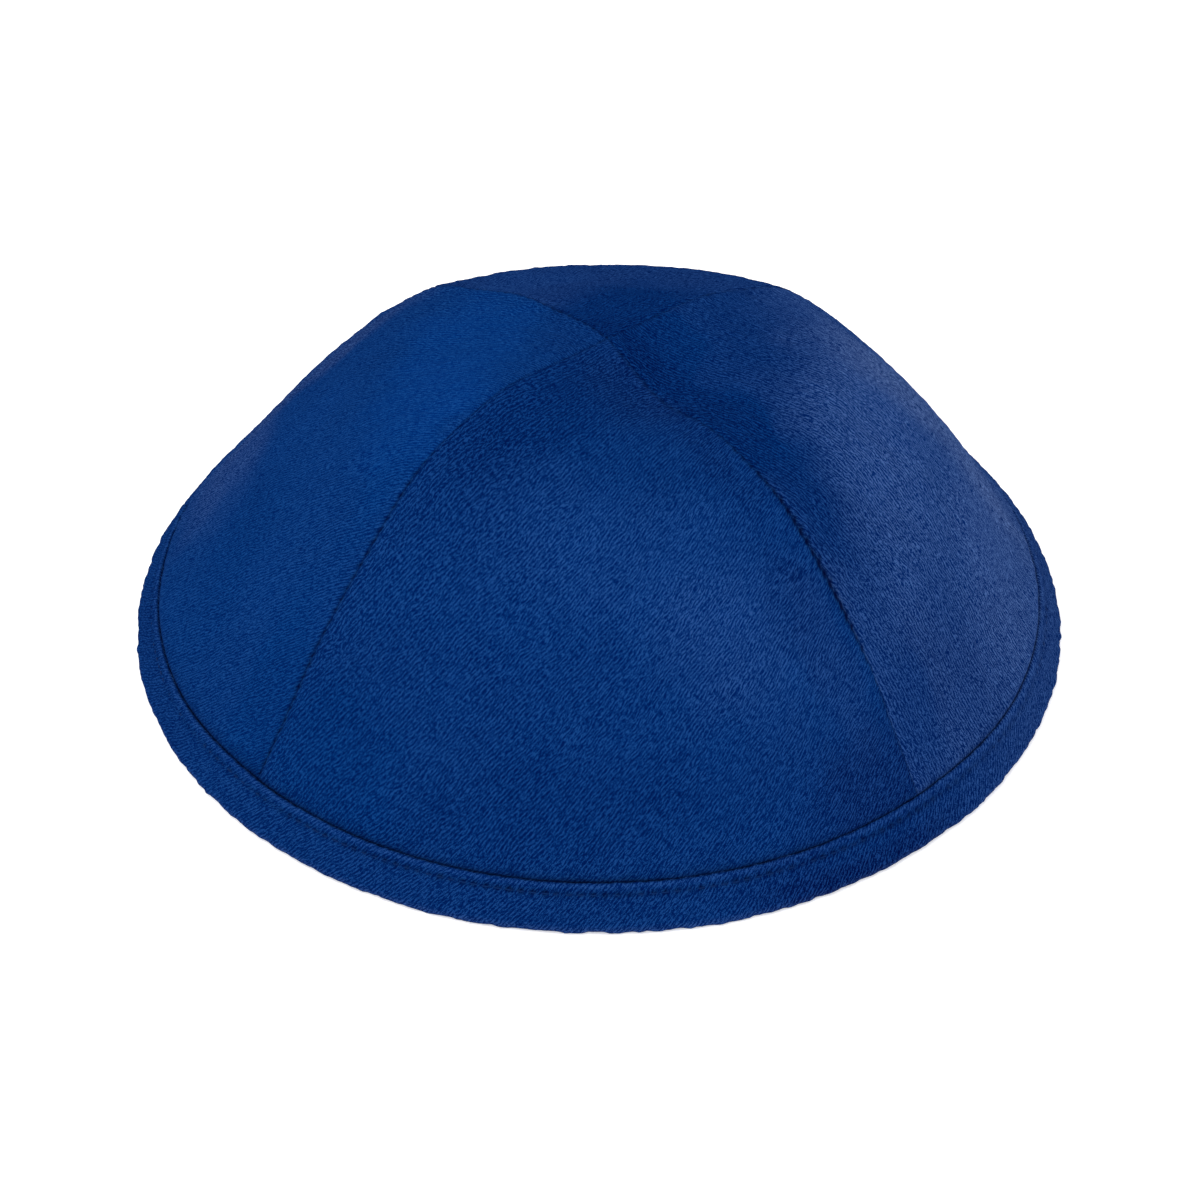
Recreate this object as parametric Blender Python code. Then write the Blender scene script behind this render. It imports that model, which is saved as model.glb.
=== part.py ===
"""A velour skullcap sewn from four gores, with a folded strip bound over its rim.

Units are metres and +Z is up. The cap rests on its rim at Z = 0 and its axis is the Z axis. The
wearer's front, and the side that the seams of the front gore open towards, is -Y.
"""

import bisect
import math
from collections import namedtuple

import bmesh
import bpy

# Sizes of the whole cap
RIM_RADIUS = 0.0950        # widest radius of the bound rim
CROWN_HEIGHT = 0.0725      # floor to the point where the four seams meet, before the cap leans
RIM_SLOPE = math.radians(54.4)   # how steeply the wall stands over the rim
LEAN_RIGHT = 0.0017        # how far the top leans towards +X
LEAN_FRONT = 0.0027        # how far the top leans towards -Y

# Cloth and the strip that binds the rim
GORE_CLOTH = 0.0016        # velour with its backing
BAND_CLOTH = 0.0010        # one leaf of the folded strip
BAND_HEIGHT = 0.0089       # floor to the strip's upper edge, outside
INNER_LEAF_DROP = 0.0012   # how much lower the strip's inner edge ends
FOLD_RADIUS = 0.0016       # roundness of the strip's outer fold
INNER_FOLD_RADIUS = 0.0011
EDGE_SWELL = 0.0003        # how far the leaves' cut edges are rounded up
ROLL_WIDTH = 0.0022        # stretch over which a gore rolls in under the strip

# Clearances between neighbouring pieces
SEAM_GAP = 0.0003          # between two gores
LAP_GAP = 0.0003           # between the strip and the gores that it wraps

# Fineness
GORE_COLUMNS = 16          # facets across one gore
CROWN_ROWS = 14            # facets from the top down to the roll
FOLD_STEPS = 6
INNER_FOLD_STEPS = 3

GORES = {                  # name: direction that its middle faces
    "panel_right": math.radians(0),
    "panel_back": math.radians(90),
    "panel_left": math.radians(180),
    "panel_front": math.radians(270),
}
HALF_GORE = math.pi / len(GORES)

# Sections of the crown along a seam, from the top down.
# radius: share of the crown's radius. rise: share of its rise over the roll.
# flatness: 0 where the cap is round between two seams, 1 where it is flat between them.
Section = namedtuple("Section", "radius rise flatness")
CROWN_SECTIONS = (
    Section(0.000, 1.000, 1.00),
    Section(0.160, 0.970, 0.93),
    Section(0.290, 0.937, 0.76),
    Section(0.430, 0.855, 0.47),
    Section(0.560, 0.770, 0.30),
    Section(0.700, 0.592, 0.21),
    Section(0.835, 0.372, 0.14),
    Section(0.945, 0.123, 0.05),
    Section(1.000, 0.000, 0.00),
)

# The roll of a gore's lower edge, from above.
# above: share of the roll's width over the strip's edge. inward: share of the tuck's depth.
RollSection = namedtuple("RollSection", "above inward")
ROLL_SECTIONS = (
    RollSection(0.55, 0.30),
    RollSection(0.00, 1.00),
)

# Soft dents and swells of the crown.
# facing: direction in degrees. radius, size: shares of the rim's radius.
# rise: share of the crown's height, negative for a dent.
Dent = namedtuple("Dent", "facing radius size rise")
DENTS = {
    "pinch_by_the_top": Dent(-45, 0.200, 0.137, -0.083),
    "shoulder_on_the_left_seam": Dent(-135, 0.421, 0.253, 0.077),
    "fullness_of_the_right_gore": Dent(2, 0.653, 0.253, 0.080),
    "hollow_of_the_back_gore": Dent(92, 0.474, 0.253, -0.022),
}
DENT_FADE = 0.30           # share of the crown's rise over which the dents fade out at the rim

VELOUR_BLUE = (0.005, 0.045, 0.200, 1.0)
BAND_BLUE = (0.005, 0.040, 0.180, 1.0)
CLOTH_ROUGHNESS = 0.95


def clear_scene():
    for old in list(bpy.data.objects):
        bpy.data.objects.remove(old, do_unlink=True)


def cloth_material(name, colour):
    material = bpy.data.materials.new(name)
    material.use_nodes = True
    shader = material.node_tree.nodes["Principled BSDF"]
    shader.inputs["Base Color"].default_value = colour
    shader.inputs["Roughness"].default_value = CLOTH_ROUGHNESS
    shader.inputs["Metallic"].default_value = 0.0
    return material


def add_piece(name, mesh_builder, colour):
    """Turn a finished bmesh into a named, smooth-shaded object with its own material."""
    mesh = bpy.data.meshes.new(name)
    mesh_builder.to_mesh(mesh)
    mesh_builder.free()
    mesh.materials.append(cloth_material(name + "_cloth", colour))
    mesh.shade_smooth()
    mesh.set_sharp_from_angle(angle=math.radians(40))
    piece = bpy.data.objects.new(name, mesh)
    bpy.context.scene.collection.objects.link(piece)
    return piece


def smooth_step(share):
    share = min(1.0, max(0.0, share))
    return share * share * (3.0 - 2.0 * share)


def read_smoothly(table, position, column):
    """A smooth curve through one column of a table, read at a share of the crown's radius."""
    places = [row.radius for row in table]
    values = [getattr(row, column) for row in table]
    last = len(table) - 1

    def slope(i):
        low = max(0, i - 1)
        high = min(last, i + 1)
        return (values[high] - values[low]) / (places[high] - places[low])

    i = min(last - 1, max(0, bisect.bisect_right(places, position) - 1))
    width = places[i + 1] - places[i]
    t = (position - places[i]) / width
    start = (1 + 2 * t) * (1 - t) ** 2 * values[i] + t * (1 - t) ** 2 * width * slope(i)
    end = t * t * (3 - 2 * t) * values[i + 1] + t * t * (t - 1) * width * slope(i + 1)
    return start + end


# Cross-section of the rim. A wall point is given by its way up the strip's outer face, from where
# the fold ends, and by its depth behind that face; it comes back as (radius, height).
FOLD_CENTRE = (RIM_RADIUS - FOLD_RADIUS, FOLD_RADIUS)
FACE_START = (
    FOLD_CENTRE[0] + FOLD_RADIUS * math.sin(RIM_SLOPE),
    FOLD_CENTRE[1] + FOLD_RADIUS * math.cos(RIM_SLOPE),
)


def wall_point(up, depth):
    radius = FACE_START[0] - up * math.cos(RIM_SLOPE) - depth * math.sin(RIM_SLOPE)
    height = FACE_START[1] + up * math.sin(RIM_SLOPE) - depth * math.cos(RIM_SLOPE)
    return radius, height


def way_up_to(height, depth):
    """The way up the wall at which a point of this depth has this height."""
    return (height - FACE_START[1] + depth * math.cos(RIM_SLOPE)) / math.sin(RIM_SLOPE)


TUCK_DEPTH = BAND_CLOTH + LAP_GAP                     # gore's outer face behind the strip's
SLOT_DEPTH = TUCK_DEPTH + GORE_CLOTH + LAP_GAP        # inner leaf's near face
BAND_DEPTH = SLOT_DEPTH + BAND_CLOTH                  # inner leaf's far face
BAND_TOP = way_up_to(BAND_HEIGHT, 0.0)
INNER_TOP = BAND_TOP - INNER_LEAF_DROP
SLOT_FOOT = way_up_to(BAND_CLOTH, SLOT_DEPTH)
TUCK_TOP = BAND_TOP + EDGE_SWELL + LAP_GAP
CROWN_FOOT = wall_point(TUCK_TOP + ROLL_WIDTH, 0.0)   # where the crown's own curve ends
CROWN_RISE = CROWN_HEIGHT - CROWN_FOOT[1]
TOP_RADIUS = SEAM_GAP / 2 / math.sin(HALF_GORE)       # a gore's tip, half a gap from both seams


def arc(centre, radius, start, end, steps):
    points = []
    for i in range(steps + 1):
        angle = start + (end - start) * i / steps
        points.append((centre[0] + radius * math.cos(angle), centre[1] + radius * math.sin(angle)))
    return points


def band_outline():
    """Closed cross-section of the folded strip: outer leaf, fold, flat foot and inner leaf."""
    face_angle = math.pi / 2 - RIM_SLOPE
    down = -math.pi / 2
    inner_depth = BAND_DEPTH - INNER_FOLD_RADIUS
    inner_centre = wall_point(way_up_to(INNER_FOLD_RADIUS, inner_depth), inner_depth)
    outline = [wall_point(BAND_TOP, 0.0)]
    outline += arc(FOLD_CENTRE, FOLD_RADIUS, face_angle, down, FOLD_STEPS)
    outline += arc(inner_centre, INNER_FOLD_RADIUS, down, face_angle - math.pi, INNER_FOLD_STEPS)
    outline += [
        wall_point(INNER_TOP, BAND_DEPTH),
        wall_point(INNER_TOP + EDGE_SWELL, SLOT_DEPTH + BAND_CLOTH / 2),
        wall_point(INNER_TOP, SLOT_DEPTH),
        wall_point(SLOT_FOOT, SLOT_DEPTH),
        wall_point(SLOT_FOOT, BAND_CLOTH),
        wall_point(BAND_TOP, BAND_CLOTH),
        wall_point(BAND_TOP + EDGE_SWELL, BAND_CLOTH / 2),
    ]
    return outline


def build_band():
    builder = bmesh.new()
    corners = [builder.verts.new((radius, 0.0, height)) for radius, height in band_outline()]
    for i, corner in enumerate(corners):
        builder.edges.new((corner, corners[(i + 1) % len(corners)]))
    bmesh.ops.spin(
        builder,
        geom=builder.verts[:] + builder.edges[:],
        cent=(0, 0, 0),
        axis=(0, 0, 1),
        angle=2 * math.pi,
        steps=GORE_COLUMNS * len(GORES),
        use_merge=True,
    )
    bmesh.ops.recalc_face_normals(builder, faces=builder.faces[:])
    return add_piece("rim_band", builder, BAND_BLUE)


def outer_section():
    """A gore's outer face along its seam, from the top down: (radius, height, flatness) rows."""
    rows = []
    for i in range(CROWN_ROWS + 1):
        share = math.sin(math.pi / 2 * i / CROWN_ROWS)
        radius = max(TOP_RADIUS, share * CROWN_FOOT[0])
        height = CROWN_FOOT[1] + CROWN_RISE * read_smoothly(CROWN_SECTIONS, share, "rise")
        rows.append((radius, height, read_smoothly(CROWN_SECTIONS, share, "flatness")))
    for roll in ROLL_SECTIONS:
        rows.append((*wall_point(TUCK_TOP + roll.above * ROLL_WIDTH, roll.inward * TUCK_DEPTH), 0.0))
    rows.append((*wall_point(SLOT_FOOT + LAP_GAP, TUCK_DEPTH), 0.0))
    return rows


def inner_section(rows):
    """The same section one cloth's thickness further in."""
    inner = [(TOP_RADIUS, rows[0][1] - GORE_CLOTH, rows[0][2])]
    for above, here, below in zip(rows, rows[1:], rows[2:] + rows[-1:]):
        facing_above = math.atan2(here[0] - above[0], above[1] - here[1])
        facing_below = facing_above
        if below is not here:
            facing_below = math.atan2(below[0] - here[0], here[1] - below[1])
        facing = (facing_above + facing_below) / 2
        reach = GORE_CLOTH / math.cos((facing_above - facing_below) / 2)
        radius = max(TOP_RADIUS, here[0] - reach * math.cos(facing))
        inner.append((radius, here[1] - reach * math.sin(facing), here[2]))
    return inner


def settle(x, y, height):
    """Lean the crown and press the soft dents into it. The rim stays as it is."""
    rise = min(1.0, max(0.0, (height - CROWN_FOOT[1]) / CROWN_RISE))
    x += LEAN_RIGHT * rise
    y -= LEAN_FRONT * rise
    lift = 0.0
    for dent in DENTS.values():
        centre_x = dent.radius * RIM_RADIUS * math.cos(math.radians(dent.facing))
        centre_y = dent.radius * RIM_RADIUS * math.sin(math.radians(dent.facing))
        distance = math.hypot(x - centre_x, y - centre_y) / (dent.size * RIM_RADIUS)
        lift += dent.rise * CROWN_HEIGHT * math.exp(-distance ** 2)
    return x, y, height + lift * smooth_step(rise / DENT_FADE)


def gore_point(row, across, facing):
    """The point of a section row at -1 to 1 across the gore."""
    radius, height, flatness = row
    half_width = HALF_GORE - math.asin(min(1.0, SEAM_GAP / 2 / radius))
    turn = across * max(0.0, half_width)
    radius *= 1 - flatness + flatness * math.cos(HALF_GORE) / math.cos(turn)
    return settle(radius * math.cos(facing + turn), radius * math.sin(facing + turn), height)


def add_face_sheet(builder, rows, facing):
    """One face of a gore: a grid bent to its section rows. Gives back its open border."""
    grid = bmesh.ops.create_grid(builder, x_segments=GORE_COLUMNS, y_segments=len(rows) - 1, size=1.0)
    for vertex in grid["verts"]:
        across = vertex.co.x
        row = rows[round((1.0 - vertex.co.y) / 2 * (len(rows) - 1))]
        vertex.co = gore_point(row, across, facing)
    verts = set(grid["verts"])
    tip = [v for v in verts if math.hypot(v.co.x - LEAN_RIGHT, v.co.y + LEAN_FRONT) < 2 * SEAM_GAP]
    bmesh.ops.pointmerge(builder, verts=tip, merge_co=tip[0].co)
    return [e for e in builder.edges if e.is_boundary and e.verts[0] in verts]


def build_gore(name, facing):
    builder = bmesh.new()
    outer = outer_section()
    border = add_face_sheet(builder, outer, facing)
    border += add_face_sheet(builder, inner_section(outer), facing)
    bmesh.ops.bridge_loops(builder, edges=border)
    bmesh.ops.recalc_face_normals(builder, faces=builder.faces[:])
    return add_piece(name, builder, VELOUR_BLUE)


clear_scene()
for gore_name, gore_facing in GORES.items():
    build_gore(gore_name, gore_facing)
build_band()
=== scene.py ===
import math
from collections import namedtuple

import bmesh
import bpy
import numpy as np
from mathutils import Euler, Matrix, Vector


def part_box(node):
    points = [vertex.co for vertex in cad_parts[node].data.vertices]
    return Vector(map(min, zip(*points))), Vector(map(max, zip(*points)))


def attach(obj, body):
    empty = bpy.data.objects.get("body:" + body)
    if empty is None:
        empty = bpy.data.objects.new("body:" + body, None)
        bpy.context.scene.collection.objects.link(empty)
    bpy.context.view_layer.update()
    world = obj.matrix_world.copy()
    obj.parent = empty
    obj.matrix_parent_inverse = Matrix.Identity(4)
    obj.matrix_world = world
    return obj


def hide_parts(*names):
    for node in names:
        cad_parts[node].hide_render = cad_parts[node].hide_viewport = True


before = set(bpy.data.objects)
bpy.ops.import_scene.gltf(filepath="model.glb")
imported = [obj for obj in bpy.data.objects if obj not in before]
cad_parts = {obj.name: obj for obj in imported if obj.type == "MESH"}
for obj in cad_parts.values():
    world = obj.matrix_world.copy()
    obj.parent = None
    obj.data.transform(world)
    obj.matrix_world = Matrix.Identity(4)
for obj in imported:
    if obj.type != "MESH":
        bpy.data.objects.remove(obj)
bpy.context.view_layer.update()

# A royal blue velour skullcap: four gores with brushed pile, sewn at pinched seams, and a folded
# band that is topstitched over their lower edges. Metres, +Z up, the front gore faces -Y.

MM = 0.001

# Sizes of the cap, from the frame where it has them
band_low, band_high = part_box("rim_band")
RIM_RADIUS = (band_high.x - band_low.x) / 2
RIM_LENGTH = 2 * math.pi * RIM_RADIUS
CROWN_HEIGHT = 72.5 * MM       # floor to the point where the seams meet, before the cap leans
RIM_SLOPE = math.radians(54.4)
LEAN_RIGHT = 1.7 * MM
LEAN_FRONT = 2.7 * MM
GORE_CLOTH = 1.6 * MM
BAND_CLOTH = 1.0 * MM
BAND_HEIGHT = 8.9 * MM
INNER_LEAF_DROP = 1.2 * MM
FOLD_RADIUS = 1.6 * MM
INNER_FOLD_RADIUS = 1.1 * MM
LEAF_EDGE = BAND_CLOTH / 2     # roundness of the band's cut edges
LAP_GAP = 0.3 * MM
PILE_GAP = 0.20 * MM           # what the pile leaves open between the band's edge and the gores
SEAM_GAP = 0.05 * MM           # the pile closes most of the gap that the solids keep
ROLL_WIDTH = 2.2 * MM          # a gore's lower edge rolls in under the band

# Each gore: the direction that its middle faces, how its pile is brushed, turned from across the
# gore, how light it lies, partly its pile and partly painted shade, and how much painted sheen of
# lit pile tips it shows
Gore = namedtuple("Gore", "facing lay shade haze")
GORES = {
    "panel_right": Gore(0.0, math.radians(72), -0.13, 1.25),
    "panel_back": Gore(math.pi / 2, math.radians(40), -0.60, 0.38),
    "panel_left": Gore(math.pi, math.radians(62), -0.08, 0.08),
    "panel_front": Gore(3 * math.pi / 2, math.radians(50), -0.41, 0.10),
}
HALF_GORE = math.pi / len(GORES)
BAND_LAY = math.radians(-50)

# Sections of the crown along a seam: shares of its radius and rise, and how flat it is between seams
Section = namedtuple("Section", "radius rise flatness")
CROWN_SECTIONS = (
    Section(0.000, 1.000, 1.00),
    Section(0.160, 0.970, 0.93),
    Section(0.290, 0.937, 0.76),
    Section(0.430, 0.855, 0.47),
    Section(0.560, 0.770, 0.30),
    Section(0.700, 0.592, 0.21),
    Section(0.835, 0.372, 0.14),
    Section(0.945, 0.123, 0.05),
    Section(1.000, 0.000, 0.00),
)

# Soft dents and swells, those of the solids and a low shoulder at the back: facing in degrees, radius
# and size as shares of the rim's radius, rise as a share of the crown's height
Dent = namedtuple("Dent", "facing radius size rise")
DENTS = {
    "pinch_by_the_top": Dent(-45, 0.200, 0.137, -0.083),
    "shoulder_on_the_left_seam": Dent(-135, 0.421, 0.253, 0.077),
    "fullness_of_the_right_gore": Dent(2, 0.653, 0.253, 0.080),
    "hollow_of_the_back_gore": Dent(92, 0.474, 0.253, -0.016),
    "shoulder_on_the_back_right_seam": Dent(45, 0.420, 0.170, 0.014),
}
DENT_FADE = 0.30

# Patches where the pile looks lighter or darker, partly brushed another way and partly painted
# shade, and where painted sheen of lit pile tips shows. x and y of the middle, width, length and turn
# of the long way from +X are seen from above, in mm and degrees. shade is lighter above 0.
Patch = namedtuple("Patch", "gore x y wide long turn shade haze")
PATCHES = {
    "dark_side_of_the_right_gore": Patch("panel_right", 21, 4, 22, 34, 90, -0.50, -1.10),
    "dark_strip_from_the_top": Patch("panel_right", 15, -12, 4.5, 16, -45, -0.34, -0.25),
    "dark_strip_by_the_right_seam": Patch("panel_right", 38, -30, 9.5, 21, -42, -0.62, -1.10),
    "dark_top_of_the_right_gore": Patch("panel_right", 5, -2, 8, 11, 0, -0.30, -1.00),
    "light_edge_of_the_right_gore": Patch("panel_right", 54, -4, 12, 26, -75, 0.19, 0.48),
    "sheen_on_the_right_shoulder": Patch("panel_right", 66, 17, 16, 22, 0, -0.24, 2.20),
    "light_by_the_right_rim": Patch("panel_right", 81, -5, 11, 26, 90, 0.07, 0.86),
    "dark_foot_of_the_right_gore": Patch("panel_right", 70, -46, 10, 24, 58, -0.31, -0.34),
    "dark_corner_of_the_right_gore": Patch("panel_right", 60, -54, 9, 12, -45, -0.02, -0.48),
    "dark_top_of_the_back_gore": Patch("panel_back", 6, 7, 12, 17, 60, -0.27, -0.55),
    "dark_tip_of_the_back_gore": Patch("panel_back", 3, 1, 6, 8, 0, -0.25, 0.06),
    "light_side_of_the_back_gore": Patch("panel_back", -17, 26, 9, 14, 40, 0.38, 0.04),
    "light_strip_of_the_left_gore": Patch("panel_left", -29, -6, 16, 27, 75, 0.57, -0.09),
    "dark_top_of_the_left_gore": Patch("panel_left", -4, -2, 9, 11, 90, -0.31, 0.01),
    "dark_foot_of_the_left_gore": Patch("panel_left", -72, -20, 10, 16, 60, -0.13, -0.06),
    "sheen_by_the_left_rim": Patch("panel_left", -79, 14, 11, 17, 90, -0.20, 0.85),
    "sheen_on_the_left_edge": Patch("panel_left", -58, 30, 8, 24, 15, -0.38, 1.05),
    "light_by_the_left_seam": Patch("panel_left", -34, -30, 6, 15, 45, 0.16, -0.10),
    "dark_corner_of_the_left_gore": Patch("panel_left", -64, -56, 8, 14, 45, -0.16, -0.14),
    "wedge_beside_the_left_seam": Patch("panel_front", -10, -26, 13, 27, 47, -0.37, -0.08),
    "dark_under_the_top": Patch("panel_front", 6, -14, 9, 12, 90, -0.07, 0.09),
    "dark_by_the_upper_right_seam": Patch("panel_front", 19, -23, 4.5, 18, -47, -0.34, 0.00),
    "light_across_the_front": Patch("panel_front", 12, -52, 13, 37, -12, 0.33, 0.17),
    "brightest_spot": Patch("panel_front", 28, -60, 10, 14, -20, 0.11, 0.21),
    "sheen_spot_by_the_right_seam": Patch("panel_front", 46, -55, 4, 10, -45, -0.18, 0.16),
    "dark_notch_by_the_right_seam": Patch("panel_front", 38, -52, 4.5, 8, -60, -0.24, 0.00),
    "dark_corner_at_the_rim": Patch("panel_front", 57, -67, 8, 17, 42, -0.64, 0.05),
    "dark_along_the_front_rim": Patch("panel_front", -6, -82, 7, 36, 0, -0.20, -0.05),
    "dark_left_foot_of_the_front": Patch("panel_front", -48, -68, 8, 18, -42, -0.06, -0.11),
}

# How open each seam lies, by its direction in degrees: pairs of mm from the top and openness,
# which sets how deep the seam dips and how dark the painted shade along it is
SEAM_OPENNESS = {
    225: ((0, 0.45), (12, 0.30), (42, 0.40), (60, 0.92), (76, 0.78), (98, 0.95), (115, 0.80)),
    315: ((0, 0.55), (34, 0.50), (46, 0.80), (58, 1.50), (76, 1.50), (83, 0.95), (90, 0.30), (115, 0.20)),
    135: ((0, 0.75), (14, 0.75), (24, 0.45), (60, 0.40), (115, 0.85)),
    45: ((0, 0.35), (50, 0.38), (70, 0.60), (115, 0.90)),
}

# How dark the painted shade is in the groove under the band's edge, around the rim: pairs of
# direction in degrees and strength
GROOVE_SHADE_AROUND = (
    (0, 0.00), (45, 0.60), (90, 0.80), (150, 0.85), (196, 0.90), (214, 1.00), (230, 1.00), (240, 0.90),
    (250, 0.80), (262, 0.85), (273, 1.00), (284, 0.88), (300, 0.72), (312, 0.22), (330, 0.30), (344, 0.00),
)

# Sewing
STITCH = 2.35 * MM             # length of one stitch
SEAM_DIP = 0.60 * MM           # how deep a seam pulls the cloth in
SEAM_REACH = 0.60 * MM         # how far from the seam the cloth dips
SEAM_PUFF = 0.10 * MM          # the cloth swells again beside the dip
SLANT = -0.8                   # the stitches' pull runs aslant over a seam
TOPSTITCH_DROP = 1.9 * MM      # topstitching below the band's upper edge
CHANNEL_DEPTH = 0.26 * MM
CHANNEL_REACH = 0.60 * MM
THREAD_RADIUS = 0.15 * MM
BAND_SAG = 1.1 * MM            # how much lower the band's edge is at the cap's two sides

# Pile
LINE_PITCH = 0.70 * MM         # fine lines that the brushed pile lies in
STREAK_WIDTH = 0.20 * MM
STREAK_LENGTH = 0.90 * MM
TUFT_RISE = 0.16 * MM          # height of the tufts that show on the outline
RIPPLE_RISE = 0.30 * MM        # height of the cloth's broad ripples
CLOTH_SPAN = 0.16              # length of cloth that the gores' map holds
STREAK_SHARE = 0.46            # what streaks, fuzz, clumps and lines add to how light the pile is
FUZZ_SHARE = 0.44
CLUMP_SHARE = 0.10
LINE_SHARE = 0.22
PILE_CONTRAST = (0.425, 0.575) # what counts as the darkest and the lightest pile
WALE_PITCH = 0.9 * MM          # ribs of the knitted back

# Fineness of the meshes
GORE_COLUMNS = 288
CROWN_ROWS = 252
ROLL_ROWS = 12
TUCK_ROWS = 5
BACK_COLUMNS = 48
BACK_ROWS = 44
BAND_COLUMNS = 1200

# Photograph: square, taken from a little above, with the cap's left seam turned towards the lens
CAMERA_TURN = math.radians(2.1)
CAMERA_RISE = math.radians(39.47)
CAMERA_DISTANCE = 0.700
CAMERA_TARGET = Vector((0.2 * MM, -32.5 * MM, 30.0 * MM))
CAMERA_LENS = 107.8
CAMERA_SENSOR = 36.0


# Cross-section of the rim: a way up the band's outer face and a depth behind it, as radius and height
FOLD_CENTRE = (RIM_RADIUS - FOLD_RADIUS, FOLD_RADIUS)
FACE_START = (
    FOLD_CENTRE[0] + FOLD_RADIUS * math.sin(RIM_SLOPE),
    FOLD_CENTRE[1] + FOLD_RADIUS * math.cos(RIM_SLOPE),
)


def wall_point(up, depth):
    radius = FACE_START[0] - up * math.cos(RIM_SLOPE) - depth * math.sin(RIM_SLOPE)
    height = FACE_START[1] + up * math.sin(RIM_SLOPE) - depth * math.cos(RIM_SLOPE)
    return radius, height


def way_up_to(height, depth):
    return (height - FACE_START[1] + depth * math.cos(RIM_SLOPE)) / math.sin(RIM_SLOPE)


TUCK_DEPTH = BAND_CLOTH + PILE_GAP
SLOT_DEPTH = BAND_CLOTH + LAP_GAP + GORE_CLOTH + LAP_GAP
BAND_DEPTH = SLOT_DEPTH + BAND_CLOTH
BAND_TOP = way_up_to(BAND_HEIGHT, 0.0)
INNER_TOP = BAND_TOP - INNER_LEAF_DROP
SLOT_FOOT = way_up_to(BAND_CLOTH, SLOT_DEPTH)
TUCK_TOP = BAND_TOP + LEAF_EDGE / 2
CROWN_FOOT = wall_point(TUCK_TOP + ROLL_WIDTH, 0.0)
CROWN_RISE = CROWN_HEIGHT - CROWN_FOOT[1]


def smooth_step(share):
    share = np.clip(share, 0.0, 1.0)
    return share * share * (3.0 - 2.0 * share)


def section_curve(column, positions):
    """A smooth curve through one column of the crown's sections, read at shares of its radius."""
    places = np.array([row.radius for row in CROWN_SECTIONS])
    values = np.array([getattr(row, column) for row in CROWN_SECTIONS])
    slopes = np.empty(len(places))
    slopes[1:-1] = (values[2:] - values[:-2]) / (places[2:] - places[:-2])
    slopes[0] = (values[1] - values[0]) / (places[1] - places[0])
    slopes[-1] = (values[-1] - values[-2]) / (places[-1] - places[-2])
    i = np.clip(np.searchsorted(places, positions, side="right") - 1, 0, len(places) - 2)
    width = places[i + 1] - places[i]
    t = (positions - places[i]) / width
    start = (1 + 2 * t) * (1 - t) ** 2 * values[i] + t * (1 - t) ** 2 * width * slopes[i]
    end = t * t * (3 - 2 * t) * values[i + 1] + t * t * (t - 1) * width * slopes[i + 1]
    return start + end


def way_along(line):
    """The distance from a line's first point to each of its points."""
    steps = np.hypot(np.diff(line[:, 0]), np.diff(line[:, 1]))
    return np.concatenate(([0.0], np.cumsum(steps)))


def even_steps(line, count):
    """The same line with count + 1 points, evenly spaced along it."""
    way = way_along(line)
    stops = np.linspace(0.0, way[-1], count + 1)
    return np.column_stack([np.interp(stops, way, line[:, i]) for i in range(line.shape[1])])


def crown_line(count):
    """A seam's line from the top down to where the roll starts: radius, height and flatness."""
    share = np.sin(np.linspace(0.0, math.pi / 2, 600))
    tip = SEAM_GAP / 2 / math.sin(HALF_GORE)
    radius = np.maximum(tip, share * CROWN_FOOT[0])
    height = CROWN_FOOT[1] + CROWN_RISE * section_curve("rise", share)
    return even_steps(np.column_stack([radius, height, section_curve("flatness", share)]), count)


def roll_line(count):
    """The rounded roll that takes a gore's lower edge in under the band."""
    turn = np.linspace(0.0, math.pi / 2, 40)
    radius, height = wall_point(TUCK_TOP + ROLL_WIDTH * (1 - np.sin(turn)), TUCK_DEPTH * (1 - np.cos(turn)))
    return even_steps(np.column_stack([radius, height, np.zeros(len(turn))]), count)


def tuck_line(count, depth):
    """The straight stretch of a gore's lower edge between the band's two leaves."""
    radius, height = wall_point(np.linspace(TUCK_TOP, SLOT_FOOT + LAP_GAP, count + 1), depth)
    return np.column_stack([radius, height, np.zeros(count + 1)])


def sag(angle, radius, height):
    """Let the band's edge, and the cloth that meets it, sit lower at the cap's two sides."""
    drop = BAND_SAG * (0.23 + 0.77 * smooth_step((np.abs(np.cos(angle)) - 0.75) / 0.2))
    drop = drop * smooth_step((height - 2 * MM) / (5 * MM)) * (1 - smooth_step((height - 11 * MM) / (9 * MM)))
    return radius + drop * math.cos(RIM_SLOPE), height - drop * math.sin(RIM_SLOPE)


def facing_out(line):
    """Unit normals of a line that runs down the cap's outside."""
    down = np.gradient(line[:, 0]), np.gradient(line[:, 1])
    length = np.hypot(*down)
    return -down[1] / length, down[0] / length


def settle(x, y, height):
    """Lean the crown and press the soft dents into it, as in the solids."""
    rise = np.clip((height - CROWN_FOOT[1]) / CROWN_RISE, 0.0, 1.0)
    x = x + LEAN_RIGHT * rise
    y = y - LEAN_FRONT * rise
    lift = np.zeros_like(x)
    for dent in DENTS.values():
        centre_x = dent.radius * RIM_RADIUS * math.cos(math.radians(dent.facing))
        centre_y = dent.radius * RIM_RADIUS * math.sin(math.radians(dent.facing))
        distance = np.hypot(x - centre_x, y - centre_y) / (dent.size * RIM_RADIUS)
        lift += dent.rise * CROWN_HEIGHT * np.exp(-distance ** 2)
    return x, y, height + lift * smooth_step(rise / DENT_FADE)


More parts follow.
